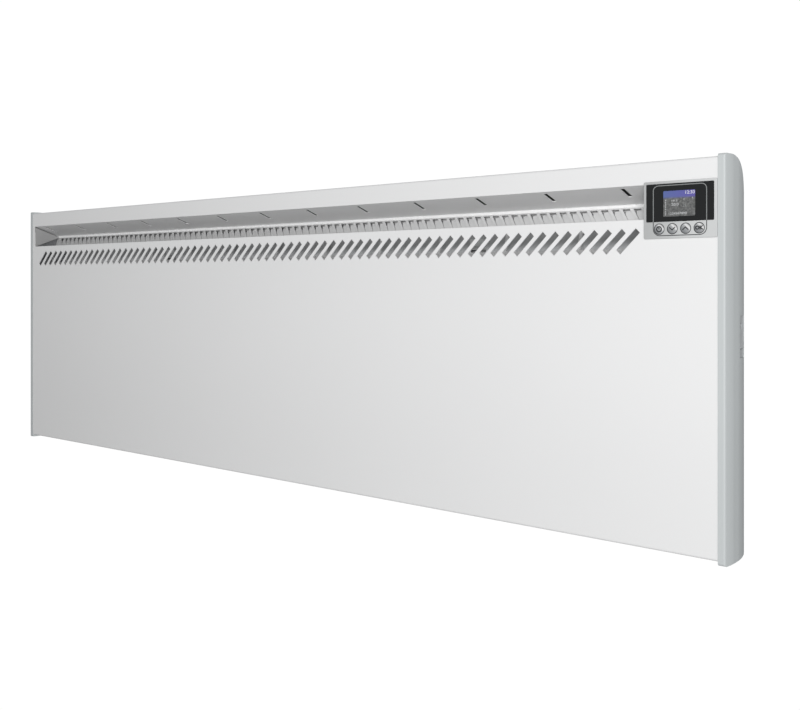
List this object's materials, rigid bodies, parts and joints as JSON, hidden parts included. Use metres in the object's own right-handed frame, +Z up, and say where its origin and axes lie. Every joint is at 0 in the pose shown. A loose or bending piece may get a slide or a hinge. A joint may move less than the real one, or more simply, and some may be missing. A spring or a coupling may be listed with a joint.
{
  "type": "wall panel convector heater",
  "caption": "Wide wall-hung electric convector with a louvred outlet, slanted slots, end caps, push-button display module, heating elements and wall bracket.",
  "frame": {"origin": "centre of the wall bracket's four screw holes, on the wall's face", "axes": "+X along the heater towards the controls, +Y into the wall, +Z up; the front faces -Y"},
  "size_m": [1.2588, 0.0791, 0.3999],
  "materials": {
    "front_coat": "fine white powder coat, satin",
    "deflector_coat": "white powder coat, satin",
    "louvre_coat": "white powder coat, satin",
    "cheek_coat": "light grey powder coat, satin",
    "rear_zinc": "galvanised sheet, dull",
    "cap_plastic": "light cool grey, fine grain",
    "zinc_sheet": "galvanised sheet, dull",
    "element_alu": "extruded, plain",
    "bush_ceramic": "unglazed",
    "tab_plating": "plated tab",
    "cutout_case": "pressed can",
    "bezel_plastic": "light grey, satin",
    "window_plastic": "smoked black",
    "display_glass": "grey display with a blue header",
    "button_plastic": "metallic grey paint",
    "switch_grey": "light grey, satin",
    "switch_black": "black moulded",
    "board_green": "solder resist",
    "standoff_nylon": "natural nylon",
    "transformer_iron": "varnished laminations",
    "terminal_plastic": "ivory moulded",
    "gland_nylon": "grey nylon",
    "sensor_bead": "dipped bead",
    "bracket_steel": "white coated steel",
    "lock_plastic": "grey moulded",
    "screw_steel": "zinc plated"
  },
  "bodies": {
    "heater": {"front_panel": "front_coat", "outlet_deflector": "deflector_coat", "outlet_cheek_left": "cheek_coat", "outlet_cheek_right": "cheek_coat", "outlet_louvre": "louvre_coat", "rear_panel": "rear_zinc", "left_end_cap": "cap_plastic", "right_end_cap": "cap_plastic", "end_plate_left": "zinc_sheet", "end_plate_right": "zinc_sheet", "control_partition": "zinc_sheet", "heat_shield": "zinc_sheet", "element_brackets": "zinc_sheet", "cutout_bracket": "zinc_sheet", "heating_element_left": "element_alu", "heating_element_right": "element_alu", "element_bushings": "bush_ceramic", "element_terminals": "tab_plating", "thermal_cutout": "cutout_case", "control_bezel": "bezel_plastic", "display_window": "window_plastic", "lcd_module": "display_glass", "mains_switch_body": "switch_grey", "power_relay": "switch_black", "tact_switches": "switch_black", "control_pcb": "board_green", "power_pcb": "board_green", "pcb_standoffs": "standoff_nylon", "sensor_holder": "standoff_nylon", "supply_transformer": "transformer_iron", "terminal_block": "terminal_plastic", "cable_gland": "gland_nylon", "room_sensor": "sensor_bead", "wall_bracket": "bracket_steel", "cap_screws": "screw_steel", "rear_panel_screws": "screw_steel", "module_screws": "screw_steel"},
    "button_power": {"button_power": "button_plastic"},
    "button_down": {"button_down": "button_plastic"},
    "button_up": {"button_up": "button_plastic"},
    "button_ok": {"button_ok": "button_plastic"},
    "mains_rocker": {"mains_rocker": "switch_grey"},
    "bracket_lock_left": {"bracket_lock_left": "lock_plastic"},
    "bracket_lock_right": {"bracket_lock_right": "lock_plastic"}
  },
  "joints": [
    {"name": "button_power_press", "type": "slide", "parent": "heater", "child": "button_power", "axis": [0, 1, 0], "range_m": [0, 0.0008], "stiffness_N_per_m": 600, "springref_m": -0.002},
    {"name": "button_down_press", "type": "slide", "parent": "heater", "child": "button_down", "axis": [0, 1, 0], "range_m": [0, 0.0008], "stiffness_N_per_m": 600, "springref_m": -0.002},
    {"name": "button_up_press", "type": "slide", "parent": "heater", "child": "button_up", "axis": [0, 1, 0], "range_m": [0, 0.0008], "stiffness_N_per_m": 600, "springref_m": -0.002},
    {"name": "button_ok_press", "type": "slide", "parent": "heater", "child": "button_ok", "axis": [0, 1, 0], "range_m": [0, 0.0008], "stiffness_N_per_m": 600, "springref_m": -0.002},
    {"name": "rocker_tilt", "type": "hinge", "parent": "heater", "child": "mains_rocker", "pos_m": [0.6225, -0.034, 0.02], "axis": [0, 1, 0], "range_deg": [0, 14]},
    {"name": "bracket_lock_left_slide", "type": "slide", "parent": "heater", "child": "bracket_lock_left", "axis": [0, 0, -1], "range_m": [0, 0.008]},
    {"name": "bracket_lock_right_slide", "type": "slide", "parent": "heater", "child": "bracket_lock_right", "axis": [0, 0, -1], "range_m": [0, 0.008]}
  ]
}
